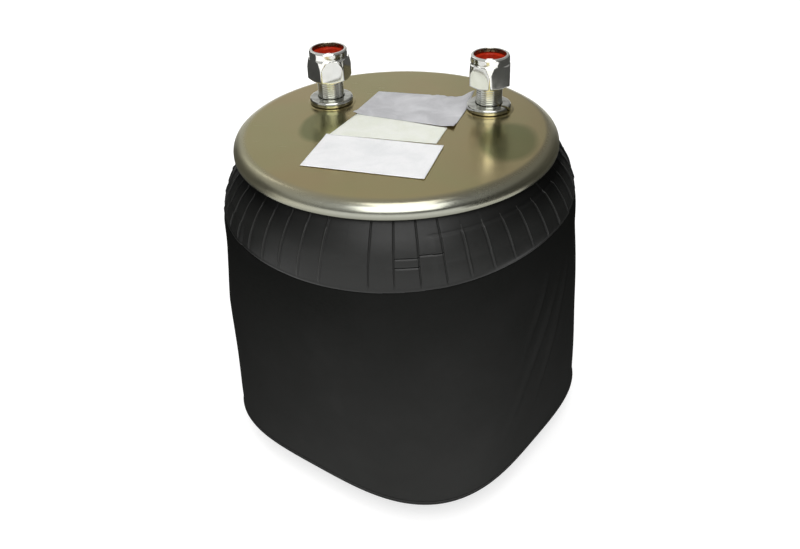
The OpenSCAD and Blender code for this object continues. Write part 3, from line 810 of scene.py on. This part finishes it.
class Mouldings:
    """The columns of the outer wall, and what is moulded on the flare at each."""

    def __init__(self):
        at = FIRST_FIN + FIN_PITCH * np.repeat(np.arange(FIN_COUNT), len(FIN_STEPS))
        self.fin_at = (at + 180) % 360 - 180
        self.local = np.tile(FIN_STEPS, FIN_COUNT)
        fin_at, local = self.fin_at, self.local
        number = np.round((fin_at - FIRST_FIN) / FIN_PITCH).astype(int)
        grooved = np.isin(number, GROOVED_FINS)
        missing = number == MISSING_FIN
        side = np.abs(fin_at)
        height = np.where(missing, 0.0, np.where(grooved, 0.10, 0.62))
        height = np.where((side > 70) & (side < 110), 1.1, height)
        height = height * (0.7 + 0.6 * chances(number, 1))
        depth = np.where(missing, 0.0, np.where(grooved, 1.15, 0.35))
        groove_at = np.where(grooved, 0.0, np.where(fin_at < 0, 0.5, -0.5))
        self.lines = height * bell(local, 0.24) - depth * bell(local - groove_at, 0.2)
        self.crest = (np.abs(local + 0.08) < 0.1) & ~grooved & ~missing & (side > 14)
        # The panel between two fins is a little high or low and tilted
        panel = np.where(local > 0, number, number - 1)
        across = np.where(local > 0, local, local + FIN_PITCH) / FIN_PITCH - 0.5
        lift = (chances(panel, 2) - 0.5) * 0.25
        self.panels = lift + (chances(panel, 3) - 0.5) * 0.55 * across
        place = fin_at + local
        self.ledge_right = (place > 9) & (place < 62)
        self.ledge_left = (place > -77) & (place < -54.6)
        self.ledge_back = side > 95
        # Level seams between the grooves at the front: columns and depth below the rim
        brick_0 = (number == 0) & (local > 0) | (number == 1) & (local <= 0)
        brick_1 = (number == 1) & (local > 0) | (number == 2) & (local <= 0)
        self.bricks = ((brick_0, 20.5), (brick_0, 26.0), (brick_1, 19.0))

    def relief(self, front, z):
        """How far the row at height z stands out, between its fins, ledges and seams."""
        below = RIM_Z - z
        foot = foot_height(front)
        # To the right of the front the fins start lower
        strip = (self.fin_at > 15) & (self.fin_at < 50)
        shown = np.where(strip, smoothstep(below, 8.8, 9.8), 1.0)
        out = (self.lines * shown + self.panels) * smoothstep(z, foot + 0.5, foot + 5)
        out *= 1 - smoothstep(below, -1.0, -2.5)
        ledge_at = 9.6 - 0.05 * (front - 12) * self.ledge_right
        out += 0.75 * self.ledge_right * smoothstep(below - ledge_at, -0.3, 0.35)
        out -= 0.3 * self.ledge_right * bell(below - ledge_at + 0.6, 0.5)
        out += 0.7 * self.ledge_left * smoothstep(below, 24.5, 25.1)
        out += 0.5 * self.ledge_back * smoothstep(below, 17.0, 17.6)
        nub = ((front + 96) / 1.6) ** 2 + ((below - 23) / 1.5) ** 2
        out += 1.7 * np.exp(-nub)
        for brick, depth in self.bricks:
            out -= 0.6 * brick * bell(below - depth - 0.25, 0.42)
        # The band's foot is a ridge at the front and left, and a soft groove at the right
        soft = smoothstep(front, 12, 40)
        out += 0.25 * (1 - soft) * bell(z - foot - 0.7, 0.7)
        out -= 0.7 * soft * bell(z - foot, 1.3)
        on_band = smoothstep(z, foot - 1.6, foot - 0.2)
        return out * on_band - 0.75 * (1 - on_band)

    def seams(self, z):
        """Which columns of the row at height z lie on a level seam."""
        found = np.zeros(len(self.local), bool)
        for brick, depth in self.bricks:
            found = found | (brick & (abs(RIM_Z - z - depth) < 0.1))
        return found


def make_outer_wall():
    """The flare with its mouldings, the band and the long squared side, as one thick wall."""
    cast = Mouldings()
    heights = list(np.arange(LIP_Z, RIM_Z - 48, -0.5))
    heights += list(np.linspace(RIM_Z - 49, FOLD_Z + 6, 46))
    heights += [FOLD_Z + 4, FOLD_Z + 2, FOLD_Z + 0.8, FOLD_Z]
    rows = []
    for z in heights:
        below = RIM_Z - z
        lean = np.clip((below - 3) / 37, 0, 1) * (1 - smoothstep(below, 60, 110))
        front = cast.fin_at + cast.local + drift(cast.fin_at) * lean
        relief = cast.relief(front, z) + body_relief(front, z)
        rows.append(squared(skin_radius(front, z) + relief, outer_morph(z), to_angle(front), z))
    inner_heights = list(np.linspace(FOLD_Z, RIM_Z - 40, 9))
    inner_heights += [RIM_Z - 25, RIM_Z - 12, RIM_Z - 4, LIP_Z]
    front = cast.fin_at + cast.local
    for z in inner_heights:
        r = skin_radius(front, z) - 2 * HALF_WALL
        rows.append(squared(r, outer_morph(z), to_angle(front), z))
    columns = len(cast.local)
    faces = grid_faces(len(rows), columns, wrap_rows=True)
    points = np.concatenate(rows)
    wall = build("sleeve_outer_wall", points, faces, RUBBER, "rubber", weighted=False)
    for material in (FLARE_RUBBER, SEAM_SHADE, FIN_HIGHLIGHT):
        wall.data.materials.append(material)
    seams = [cast.seams(z) for z in heights]
    for face in wall.data.polygons:
        x, y, z = face.center / MM
        front = from_front(math.degrees(math.atan2(y, x)))
        row, column = divmod(face.index, columns)
        outside = row < len(heights)
        face.material_index = int(z > foot_height(front) - 0.9)
        # Painted shade in the level seams
        if outside and seams[row][column]:
            face.material_index = 2
        # Painted highlight on the fins' crests
        elif outside and cast.crest[column] and crest_foot(front) < z < RIM_Z - 6:
            face.material_index = 3
    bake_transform(wall)
    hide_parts("flexible_member")


def ring_wall(name, skins, columns=416):
    """A closed wall from rings of (radius, height, morph)."""
    angle = CORNER + np.arange(columns) * 2 * math.pi / columns
    points = np.concatenate([squared(r, m, angle, z) for r, z, m in skins])
    faces = grid_faces(len(skins), columns, wrap_rows=True)
    return build(name, points, faces, RUBBER, "rubber", weighted=False)


def make_fold():
    """The flattened fold at the bottom; on the real spring it moves half as far as the plate."""
    angles = [0, -3, -12, -26, -42, -58, -74, -90, -106, -122, -138, -154, -168, -177, -180]
    skins = []
    for r, steps in ((FOLD_R + HALF_WALL, angles), (FOLD_R - HALF_WALL, angles[::-2])):
        for a in np.radians(steps):
            skins.append((FOLD_MID_R + r * math.cos(a), FOLD_Z + r * math.sin(a), 1))
    fold = ring_wall("sleeve_fold", skins)
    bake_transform(fold)
    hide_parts("flexible_member")


def make_inner_wall():
    """The wall between the fold and the lower bead, rolled on the piston."""
    fold_end = FOLD_MID_R - FOLD_R
    shoulder_mid = SHOULDER_R + OVER_R
    skins = []
    for sign in (-1, 1):
        side = []
        for k in range(17):
            u = k / 16
            r = fold_end + (shoulder_mid - fold_end) * u
            z = FOLD_Z + (SHOULDER_Z - FOLD_Z) * u
            side.append((r + sign * HALF_WALL, z, inner_morph(z)))
        for k in range(1, 11):
            a = math.radians(9 * k)
            r = OVER_R + sign * HALF_WALL
            side.append((SHOULDER_R + r * math.cos(a), SHOULDER_Z + r * math.sin(a), 0))
        side.append((BEAD_R + 0.15, SHOULDER_Z + OVER_R + sign * HALF_WALL, 0))
        skins += side if sign < 0 else list(reversed(side))
    wall = ring_wall("sleeve_inner_wall", skins, 208)
    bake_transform(wall)
    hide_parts("flexible_member")


# Parts inside

def turned(name, outline, material, slot, body, node, steps=240):
    """A piece turned from a closed outline, in place of a node."""
    points, faces = lathe(outline, steps=steps, closed=True)
    obj = build(name, points, faces, material, slot)
    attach(obj, body)
    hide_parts(node)


def make_beads():
    """The thick edges of the sleeve: in the plate's rim, and on the piston's seat."""
    upper = [(BEAD_INNER_R, 247), (BEAD_INNER_R, LIP_Z), (LIP_R, LIP_Z), (CHANNEL_R, WIDEST_Z)]
    upper = rounded(upper, [0, 0.6, 0, 0]) + under_shoulder()
    upper += [(BEAD_INNER_R + 2, UNDER_PLATE), (BEAD_INNER_R, UNDER_PLATE)]
    turned("upper_bead_dressed", upper, RUBBER, "rubber", UPPER, "upper_bead")
    lower = [(SEAT_R, CROWN_Z + 4), (SEAT_R, CROWN_Z), (BEAD_R, CROWN_Z), (BEAD_R, CLAMP_Z)]
    lower += [(SEAT_R, CLAMP_Z), (SEAT_R, CROWN_Z + 4)]
    lower = rounded(lower, [0, 0.5, 1.2, 2.2, 0.5, 0])[:-1]
    turned("lower_bead_dressed", lower, RUBBER, "rubber", LOWER, "lower_bead")


def shell_side(inset, steps):
    """The piston's side from its bevelled foot over the waist to the rounded shoulder."""
    side = [(PISTON_R - FOOT_BEVEL - inset, 0.0), (PISTON_R - inset, FOOT_BEVEL)]
    for k in range(steps + 1):
        z = SKIRT_H + (SHOULDER_Z - SKIRT_H) * k / steps
        waist = WAIST * math.sin(math.pi * (z - SKIRT_H) / (SHOULDER_Z - SKIRT_H)) ** 2
        side.append((PISTON_R - waist - inset, z))
    return side + arc((SHOULDER_R, SHOULDER_Z), CROWN_ROUND - inset, 6, 90, 14)


def make_piston():
    """The drawn shell: side, shoulder, seat for the lower bead, and crown."""
    foot = [(PISTON_R - 6, 0), (PISTON_R - FOOT_BEVEL, 0), (PISTON_R, FOOT_BEVEL), (PISTON_R, 9)]
    outline = rounded(foot, [0, 0.8, 1.6, 0])[1:] + shell_side(0, 24)[2:]
    crown = [(SHOULDER_R - 1, CROWN_Z), (SEAT_R, CROWN_Z), (SEAT_R, CLAMP_Z)]
    crown += [(BOLT_HOLE_R, CLAMP_Z), (BOLT_HOLE_R, CLAMP_Z - CROWN_T)]
    crown += [(SEAT_R - PISTON_WALL, CLAMP_Z - CROWN_T)]
    crown += [(SEAT_R - PISTON_WALL, CROWN_Z - PISTON_WALL)]
    outline += rounded(crown, [0, 0.6, 0.6, 0.3, 0.3, 0.6, 0])
    outline += list(reversed(shell_side(PISTON_WALL, 24)))
    turned("piston_shell_dressed", outline, PAINT, "piston_paint", LOWER, "piston_shell", 300)


def make_bumper():
    """A tapering rubber block with two soft waists, hollow over the centre nut."""
    outline = []
    for k in range(49):
        u = k / 48
        r = BUMPER_R * (1 - 0.16 * u) - 1.25 * (1 - math.cos(4 * math.pi * u))
        outline.append((r, CLAMP_TOP + BUMPER_SIDE * u))
    edge = outline[-1][0]
    crown = [(edge, 213.4), (edge - 1.5, 216.9), (edge - 5, BUMPER_TOP), (0.0, BUMPER_TOP)]
    outline += rounded(crown, [0, 2, 2.4, 0])[1:]
    outline += [(0.0, CLAMP_TOP + 11), (20.0, CLAMP_TOP + 11), (21.4, CLAMP_TOP + 7)]
    outline += [(19.6, CLAMP_TOP + 6), (19.6, CLAMP_TOP)]
    turned("jounce_bumper_dressed", outline, BUMPER, "bumper_rubber", LOWER, "jounce_bumper", 120)


# Nodes that show as they are in the solids, with a material and a slot
CAD_FINISH = {
    "upper_bead_wire": (WIRE, "bead_wire"),
    "lower_bead_wire": (WIRE, "bead_wire"),
    "clamp_seal": (RUBBER, "rubber"),
    "piston_base_plate": (PAINT, "piston_paint"),
    "base_inserts": (STUD, "stud_zinc"),
    "clamp_plate": (PAINT, "piston_paint"),
    "centre_bolt": (STUD, "stud_zinc"),
    "centre_bolt_washer": (STUD, "stud_zinc"),
    "centre_nut": (STUD, "stud_zinc"),
}


def finish_cad_nodes():
    for name, (material, slot) in CAD_FINISH.items():
        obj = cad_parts[name]
        obj.data.materials.clear()
        obj.data.materials.append(material)


# Labels

def to_part(x, y):
    """The place in the part's frame of a point x to the right of the middle and y behind it."""
    return x * RIGHT[0] + y * BACK[0], x * RIGHT[1] + y * BACK[1]


def make_label(name, corners, material, layer, lift, ragged=0.0):
    """A thin sheet between four corners: back left, back right, front right, front left."""
    wide, deep = 48, 30
    thick = 0.10
    corners = [np.array(to_part(*c)) for c in corners]
    top, bottom = [], []
    for j in range(deep + 1):
        v = j / deep
        for i in range(wide + 1):
            u = i / wide
            torn = v
            if ragged and j == 0:
                torn = ragged * noise.noise(Vector((u * 17, 3.1, 0))) * smoothstep(u, 0.35, 0.6)
            upper = corners[0] * (1 - u) + corners[1] * u
            lower = corners[3] * (1 - u) + corners[2] * u
            p = upper * (1 - torn) + lower * torn
            z = PLATE_TOP + 0.16 + layer + lift(u, v)
            z += 0.06 * noise.noise(Vector((p[0] / 13, p[1] / 13, layer * 9)))
            top.append((p[0], p[1], z + thick))
            bottom.append((p[0], p[1], z))
    count = len(top)
    faces = grid_faces(deep + 1, wide + 1, wrap_columns=False)
    faces += [tuple(reversed([k + count for k in face])) for face in faces]
    edge = list(range(wide))
    edge += [j * (wide + 1) + wide for j in range(deep)]
    edge += [deep * (wide + 1) + i for i in range(wide, 0, -1)]
    edge += [j * (wide + 1) for j in range(deep, 0, -1)]
    for a, b in zip(edge, edge[1:] + edge[:1]):
        faces.append((a, a + count, b + count, b))
    sheet = build(name, np.array(top + bottom), faces, material, weighted=False)
    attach(sheet, UPPER)


def make_labels():
    """Three plain sheets that overlap; the back one has a torn edge and a curled corner."""

    def back_lift(u, v):
        curl = smoothstep(u, 0.80, 1.0) * (1 - smoothstep(v, 0.0, 0.55))
        corner = smoothstep(u, 0.10, 0.0) * smoothstep(v, 0.80, 1.0)
        tip = smoothstep(u, 0.88, 1.0) * smoothstep(v, 0.82, 1.0)
        return 5.5 * curl ** 1.6 + 1.5 * corner + 1.3 * tip

    def middle_lift(u, v):
        return 0.15 * smoothstep(u, 0.9, 1.0)

    def front_lift(u, v):
        return 0.35 * (1 - smoothstep(v, 0.0, 0.12)) + 0.25 * smoothstep(u, 0.93, 1)

    middle = [(-27, 25), (36, -7), (27, -32), (-46, -10)]
    make_label("label_middle", middle, PAPER_MIDDLE, 0.0, middle_lift)
    back = [(-11.9, 63.9), (59.5, 44.9), (40.3, -7.3), (-30.6, 23.4)]
    make_label("label_back", back, PAPER_BACK, 0.25, back_lift, ragged=0.05)
    turn = math.radians(-17.8)
    c, s = math.cos(turn), math.sin(turn)
    square = [(-42, 24.5), (42, 24.5), (42, -24.5), (-42, -24.5)]
    front = [(-15.8 + x * c - y * s, -46.8 + x * s + y * c) for x, y in square]
    make_label("label_front", front, PAPER_FRONT, 0.25, front_lift)


# Studio, in metres, with places as in to_part

FLOOR_REACH = 60
FLOOR_Z = -0.0001
# Level of the sky by the sine of its height: on the front's side and at the back
FRONT_SKY = {0.0: 1.0, 0.05: 1.0, 0.09: 0.28, 0.3: 0.28}
FRONT_SKY.update({0.46: 0.52, 0.6: 0.57, 0.8: 0.52, 1.0: 0.42})
BACK_SKY = {**FRONT_SKY, 0.09: 0.62, 0.3: 0.62}


def make_floor():
    """White to the eye and to reflections, a middle grey to light, and clear from below."""
    s = Shader("floor")
    path = s.tree.nodes.new("ShaderNodeLightPath").outputs
    seen = s.math("MAXIMUM", path["Is Camera Ray"], path["Is Glossy Ray"])
    seen = s.math("MAXIMUM", seen, path["Is Transmission Ray"])
    glow = s.ramp(s.length(s.place()), 1.0, 3.0, 0.66, 0.95)
    s.finish(
        Base_Color=rgb(0.50, 0.50, 0.50),
        Roughness=0.9,
        Emission_Color=rgb(1, 1, 1),
        Emission_Strength=s.math("MULTIPLY", seen, glow),
    )
    behind = s.tree.nodes.new("ShaderNodeNewGeometry").outputs["Backfacing"]
    clear = s.math("MULTIPLY", path["Is Camera Ray"], behind)
    see_through = s.node("BsdfTransparent", {})
    both = s.node("MixShader", {0: clear, 1: s.surface.outputs[0], 2: see_through})
    s.tree.links.new(both, s.tree.nodes["Material Output"].inputs["Surface"])
    reach, z = FLOOR_REACH / MM, FLOOR_Z / MM
    points = [(-reach, -reach, z), (reach, -reach, z), (reach, reach, z), (-reach, reach, z)]
    floor = build("floor", points, [(0, 1, 2, 3)], s.material, weighted=False)
    if floor.data.polygons[0].normal.z < 0:
        floor.data.flip_normals()


def make_world():
    """White at the horizon; above it darker on the front's side than behind, and to the right."""
    world = bpy.data.worlds.new("studio")
    world.use_nodes = True
    bpy.context.scene.world = world
    tree = world.node_tree
    way = tree.nodes.new("ShaderNodeTexCoord").outputs["Generated"]
    split = tree.nodes.new("ShaderNodeSeparateXYZ")
    tree.links.new(way, split.inputs[0])
    up = split.outputs["Z"]

    def sky(stops):
        ramp = tree.nodes.new("ShaderNodeValToRGB")
        tree.links.new(up, ramp.inputs[0])
        while len(ramp.color_ramp.elements) < len(stops):
            ramp.color_ramp.elements.new(0.5)
        for element, (at, level) in zip(ramp.color_ramp.elements, stops.items()):
            element.position = at
            element.color = (level, level, level * 0.98, 1)
        return ramp.outputs[0]

    def fade(value, settings):
        made = tree.nodes.new("ShaderNodeMapRange")
        tree.links.new(value, made.inputs[0])
        for key, setting in settings.items():
            made.inputs[key].default_value = setting
        return made

    def along(heading):
        made = tree.nodes.new("ShaderNodeVectorMath")
        made.operation = "DOT_PRODUCT"
        made.inputs[1].default_value = heading
        tree.links.new(way, made.inputs[0])
        return made.outputs["Value"]

    both = tree.nodes.new("ShaderNodeMix")
    both.data_type = "RGBA"
    to_back = fade(along(BACK), {1: 0.0, 2: 0.5, 3: 0.0, 4: 1.0})
    tree.links.new(to_back.outputs[0], both.inputs[0])
    tree.links.new(sky(FRONT_SKY), both.inputs[6])
    tree.links.new(sky(BACK_SKY), both.inputs[7])
    # The band at the horizon stays white all round
    above = fade(up, {1: 0.05, 2: 0.09, 3: 1.0})
    to_right = fade(along(RIGHT), {1: 0.05, 2: 0.30, 3: 1.0, 4: 0.44})
    tree.links.new(to_right.outputs[0], above.inputs[4])
    background = tree.nodes["Background"]
    tree.links.new(both.outputs[2], background.inputs[0])
    tree.links.new(above.outputs[0], background.inputs[1])


def softbox(name, place, target, size, power):
    """An area light that faces a target."""
    light = bpy.data.lights.new(name, "AREA")
    light.shape = "RECTANGLE"
    light.size, light.size_y = size
    light.energy = power
    obj = bpy.data.objects.new(name, light)
    bpy.context.scene.collection.objects.link(obj)
    obj.location = (*to_part(place[0], place[1]), place[2])
    way = Vector(target) - obj.location
    obj.rotation_euler = way.to_track_quat("-Z", "Y").to_euler()
    obj.visible_camera = False
    return obj


def flag(name, tone, low, high):
    """A dark card between two corners that only reflections see."""
    s = Shader(name)
    s.finish(Base_Color=rgb(tone, tone, tone * 0.95), Roughness=0.9)
    corners = (low, (low[0], high[1], low[2]), high, (high[0], low[1], high[2]))
    points = [(*to_part(x * 1000, y * 1000), z * 1000) for x, y, z in corners]
    card = build(name, points, [(0, 1, 2, 3)], s.material, weighted=False)
    card.visible_camera = False
    card.visible_diffuse = False
    card.visible_shadow = False
    card.visible_transmission = False


def make_camera():
    up = math.sin(CAMERA_DOWN) * Vector(BACK) + math.cos(CAMERA_DOWN) * Vector((0, 0, 1))
    forward = math.cos(CAMERA_DOWN) * Vector(BACK) - math.sin(CAMERA_DOWN) * Vector((0, 0, 1))
    right_r = math.cos(CAMERA_ROLL) * Vector(RIGHT) + math.sin(CAMERA_ROLL) * up
    up_r = -math.sin(CAMERA_ROLL) * Vector(RIGHT) + math.cos(CAMERA_ROLL) * up
    turn = Matrix((right_r, up_r, -forward)).transposed()
    data = bpy.data.cameras.new("camera")
    data.lens = CAMERA_LENS
    data.sensor_width = SENSOR_WIDTH
    camera = bpy.data.objects.new("camera", data)
    bpy.context.scene.collection.objects.link(camera)
    camera.matrix_world = Matrix.Translation(CAMERA_PLACE) @ turn.to_4x4()
    bpy.context.scene.camera = camera


make_camera()
make_plate()
make_stud("left", "air_stud")
make_stud("right", "plain_stud")
for one in STUDS:
    make_washer(one)
    make_nut(one)
    make_nylon_ring(one)
make_outer_wall()
make_fold()
make_inner_wall()
make_beads()
make_piston()
make_bumper()
finish_cad_nodes()
make_labels()
make_floor()
make_world()
softbox("key", (0.03, -1.25, 1.45), (0, 0, 0.25), (1.6, 1.36), 19.8)
softbox("top", (0.05, -0.35, 1.95), (0, 0, 0.25), (0.85, 0.9), 7.5)
softbox("rim", (-1.0, 1.0, 1.25), (0, 0, 0.2), (0.16, 0.8), 0.6)
fill = softbox("fill", (0.0, 1.6, 0.45), (0, 0, 0.12), (1.8, 0.5), 14)
fill.visible_glossy = False
flag("flag_left", 0.08, (-0.60, -0.10, 0.0), (-0.60, 0.90, 0.55))
flag("flag_right", 0.07, (0.60, -0.70, 0.0), (0.60, 0.90, 0.55))
flag("mat_left", 0.06, (-0.60, 0.02, 0.001), (-0.16, 0.80, 0.001))
flag("mat_right", 0.06, (0.16, -0.02, 0.001), (0.60, 0.80, 0.001))
bpy.context.scene.view_settings.view_transform = "Standard"
